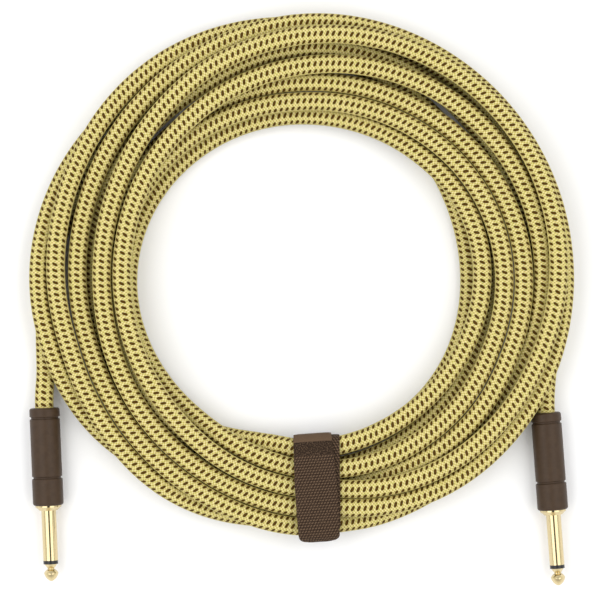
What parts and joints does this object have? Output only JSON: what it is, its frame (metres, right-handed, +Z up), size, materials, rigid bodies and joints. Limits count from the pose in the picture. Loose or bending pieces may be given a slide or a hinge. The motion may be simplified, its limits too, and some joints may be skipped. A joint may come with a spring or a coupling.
{
  "type": "instrument cable",
  "caption": "Coiled instrument cable with a woven tweed jacket, a straight mono plug on each end and a hook-and-loop tie round the coil.",
  "frame": {"origin": "middle of the underside of the box round the two plugs and the tie strap, on the surface that the cable lies on", "axes": "+X from the left plug to the right plug, +Z up out of the coil's plane; both pins point along -Y and the coil lies on the +Y side"},
  "size_m": [0.2318, 0.2449, 0.0216],
  "materials": {
    "jacket": "woven braid, cream with dark brown flecks",
    "grip": "moulded, soft sheen",
    "contact": "polished, pale gold plating",
    "ring": "moulded, smooth",
    "tube": "extruded, smooth",
    "washer": "moulded, smooth",
    "lug": "pressed sheet, plain",
    "mould": "moulded, matte",
    "core": "extruded, smooth",
    "copper": "bare stranded copper",
    "webbing": "dark brown woven webbing",
    "hooks": "nylon hooks",
    "loops": "nylon loops"
  },
  "bodies": {
    "cable": {"grip_left": "grip", "sleeve_left": "contact", "tip_left": "contact", "tip_ring_left": "ring", "inner_insulator_left": "tube", "tip_lug_left": "lug", "lug_washer_left": "washer", "ground_lug_left": "lug", "inner_mould_left": "mould", "jacket_end_left": "jacket", "core_left": "core", "conductor_left": "copper", "shield_tail_left": "copper", "grip_right": "grip", "sleeve_right": "contact", "tip_right": "contact", "tip_ring_right": "ring", "inner_insulator_right": "tube", "tip_lug_right": "lug", "lug_washer_right": "washer", "ground_lug_right": "lug", "inner_mould_right": "mould", "jacket_end_right": "jacket", "core_right": "core", "conductor_right": "copper", "shield_tail_right": "copper", "strap_band": "webbing", "loop_pad": "loops", "cord_coil": "jacket", "cord_lead_left": "jacket", "cord_lead_right": "jacket"},
    "flap": {"strap_flap": "webbing", "hook_pad": "hooks"}
  },
  "joints": [
    {"name": "flap_peel", "type": "hinge", "parent": "cable", "child": "flap", "pos_m": [0.0063, 0.01972, 0.021], "axis": [-0.9976, -0.0698, 0], "range_deg": [0, 180]}
  ]
}
